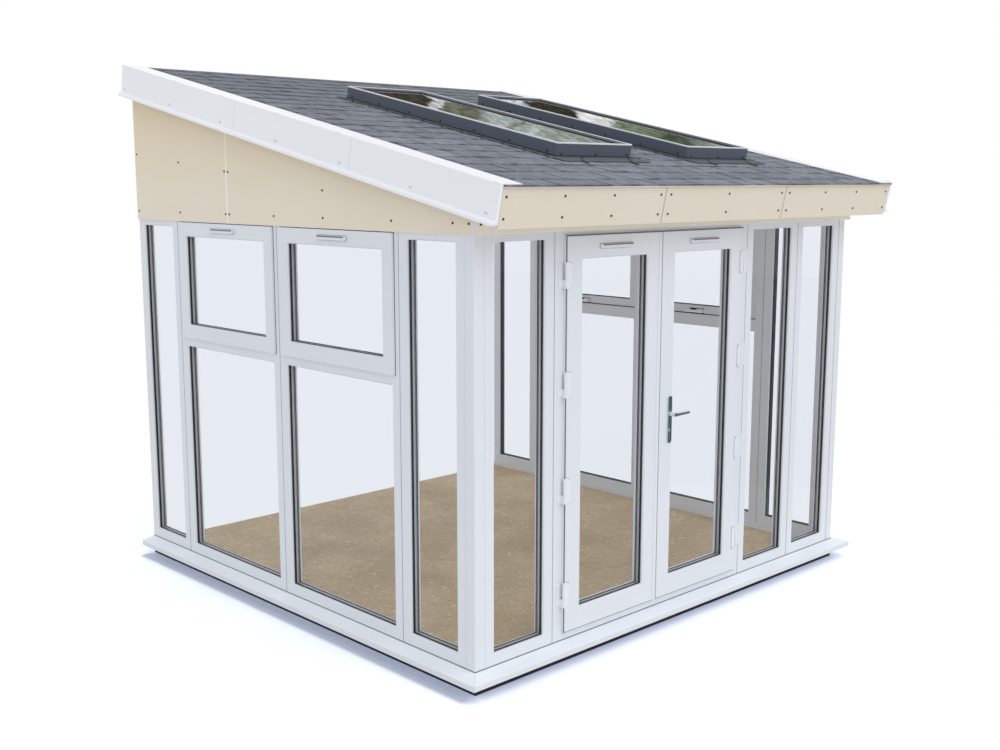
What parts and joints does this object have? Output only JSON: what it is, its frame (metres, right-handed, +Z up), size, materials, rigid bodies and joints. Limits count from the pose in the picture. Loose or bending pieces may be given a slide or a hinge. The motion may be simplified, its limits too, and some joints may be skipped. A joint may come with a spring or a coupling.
{
  "type": "lean-to garden room",
  "caption": "Lean-to garden room with a low tiled roof, rooflights, white glazed frames on three sides, French doors and an open side that meets a house wall.",
  "frame": {"origin": "middle of the base's underside at ground level", "axes": "+X along the front from its left end to its right, +Y from the front doors to the house side, +Z up"},
  "size_m": [3.411, 3.4547, 3.175],
  "materials": {
    "white_upvc": "smooth white moulded uPVC",
    "cream_board": "cream foamed cladding board, matt",
    "sealed_unit": "clear float glass, double-glazed",
    "black_base": "black coated base rails",
    "floor_board": "pressed wood-chip flooring board",
    "grey_tile": "slate-grey composite tile",
    "roof_core": "insulated panel",
    "plaster_lining": "white ceiling lining",
    "grey_kerb": "slate-grey powder coat",
    "grey_sheet": "grey coated flashing sheet",
    "chrome": "polished chrome"
  },
  "bodies": {
    "root": {"base_frame": "black_base", "floor_deck": "floor_board", "front_sill": "white_upvc", "left_sill": "white_upvc", "right_sill": "white_upvc", "corner_posts": "white_upvc", "front_window_frames": "white_upvc", "left_window_frames": "white_upvc", "right_window_frames": "white_upvc", "front_window_glass": "sealed_unit", "left_window_glass": "sealed_unit", "right_window_glass": "sealed_unit", "left_casements": "white_upvc", "right_casements": "white_upvc", "window_handles": "white_upvc", "window_vents": "white_upvc", "door_frame": "white_upvc", "frame_hinges": "white_upvc", "left_gable_wall": "roof_core", "right_gable_wall": "roof_core", "front_header": "roof_core", "back_beam": "roof_core", "left_gable_boards": "cream_board", "right_gable_boards": "cream_board", "front_head_board": "cream_board", "eaves_soffit": "white_upvc", "eaves_fascia": "cream_board", "left_barge_board": "white_upvc", "right_barge_board": "white_upvc", "roof_panels": "roof_core", "ceiling_lining": "plaster_lining", "roof_tiles": "grey_tile", "rooflight_kerbs": "grey_kerb", "rooflight_glass": "sealed_unit", "rooflight_skirts": "grey_sheet"},
    "left_door": {"left_door_leaf": "white_upvc", "left_door_glass": "sealed_unit", "left_door_vent": "white_upvc", "left_leaf_hinges": "white_upvc", "door_meeting_strip": "white_upvc"},
    "right_door": {"right_door_leaf": "white_upvc", "right_door_glass": "sealed_unit", "right_door_vent": "white_upvc", "right_leaf_hinges": "white_upvc", "lock_plates": "chrome"},
    "lever": {"lever_handles": "chrome"}
  },
  "joints": [
    {"name": "left_door_hinge", "type": "hinge", "parent": "root", "child": "left_door", "pos_m": [-1.0075, -1.6125, 1.187], "axis": [0, 0, -1], "range_deg": [0, 95]},
    {"name": "right_door_hinge", "type": "hinge", "parent": "root", "child": "right_door", "pos_m": [0.4825, -1.6125, 1.187], "axis": [0, 0, 1], "range_deg": [0, 95]},
    {"name": "lever_turn", "type": "hinge", "parent": "right_door", "child": "lever", "pos_m": [-0.1755, -1.6085, 1.203], "axis": [0, 1, 0], "range_deg": [0, 40], "stiffness_Nm_per_rad": 3, "springref_deg": -22.92}
  ]
}
